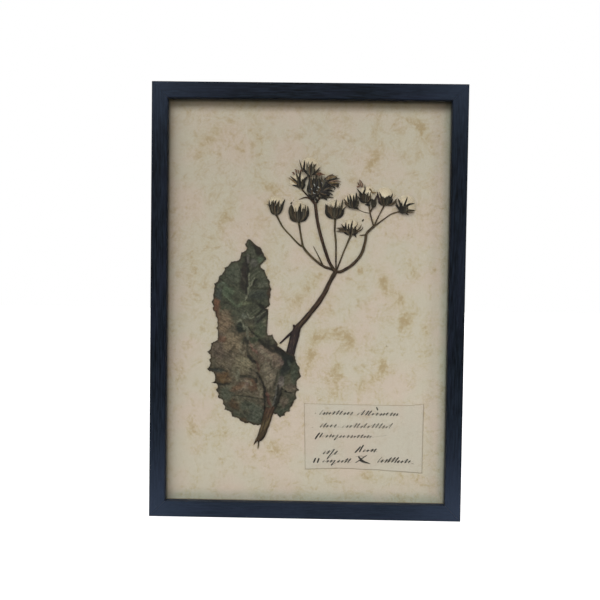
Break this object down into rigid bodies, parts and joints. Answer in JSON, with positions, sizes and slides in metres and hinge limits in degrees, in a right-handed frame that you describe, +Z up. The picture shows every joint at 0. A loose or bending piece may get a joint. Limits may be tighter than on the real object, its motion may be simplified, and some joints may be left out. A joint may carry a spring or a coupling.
{
  "type": "pressed flower frame",
  "caption": "Slim wrapped-wood wall frame with a glass front, holding a pressed, dried sow thistle with its leaf and seed heads on an aged sheet with an old label.",
  "frame": {"origin": "centre of the back face of the top rail, where the frame lies against the wall", "axes": "+Y into the wall, so the glass faces -Y; +Z up along the frame's height; +X to the right seen from the front"},
  "size_m": [0.224, 0.02, 0.311],
  "materials": {
    "rail_foil": "satin",
    "window_glass": "polished",
    "spacer_card": "matte",
    "aged_paper": "matte",
    "label_paper": "matte",
    "hardboard": "matte",
    "zinc_steel": "satin",
    "stem_brown": "matte",
    "leaf_green": "matte",
    "bract_dark": "matte",
    "pappus_cream": "matte"
  },
  "bodies": {
    "root": {"backing_board": "hardboard", "branch_left": "stem_brown", "branch_middle": "stem_brown", "branch_right": "stem_brown", "flower_head_1": "bract_dark", "flower_head_10": "bract_dark", "flower_head_11": "bract_dark", "flower_head_12": "bract_dark", "flower_head_13": "bract_dark", "flower_head_2": "bract_dark", "flower_head_3": "bract_dark", "flower_head_4": "bract_dark", "flower_head_5": "bract_dark", "flower_head_6": "bract_dark", "flower_head_7": "bract_dark", "flower_head_8": "bract_dark", "flower_head_9": "bract_dark", "glass_pane": "window_glass", "herbarium_sheet": "aged_paper", "label": "label_paper", "leaf": "leaf_green", "rail_bottom": "rail_foil", "rail_left": "rail_foil", "rail_right": "rail_foil", "rail_top": "rail_foil", "rivet_left": "zinc_steel", "rivet_right": "zinc_steel", "sawtooth_hanger": "zinc_steel", "seed_tuft_1": "pappus_cream", "seed_tuft_10": "pappus_cream", "seed_tuft_12": "pappus_cream", "seed_tuft_13": "pappus_cream", "seed_tuft_2": "pappus_cream", "seed_tuft_3": "pappus_cream", "seed_tuft_4": "pappus_cream", "seed_tuft_7": "pappus_cream", "seed_tuft_8": "pappus_cream", "seed_tuft_9": "pappus_cream", "spacer_bottom": "spacer_card", "spacer_left": "spacer_card", "spacer_right": "spacer_card", "spacer_top": "spacer_card", "stalk_low_right": "stem_brown", "stalk_middle": "stem_brown", "stem": "stem_brown", "tab_bottom_1": "zinc_steel", "tab_bottom_2": "zinc_steel", "tab_left_1": "zinc_steel", "tab_left_2": "zinc_steel", "tab_right_1": "zinc_steel", "tab_right_2": "zinc_steel", "tab_top_1": "zinc_steel", "tab_top_2": "zinc_steel"}
  },
  "joints": []
}
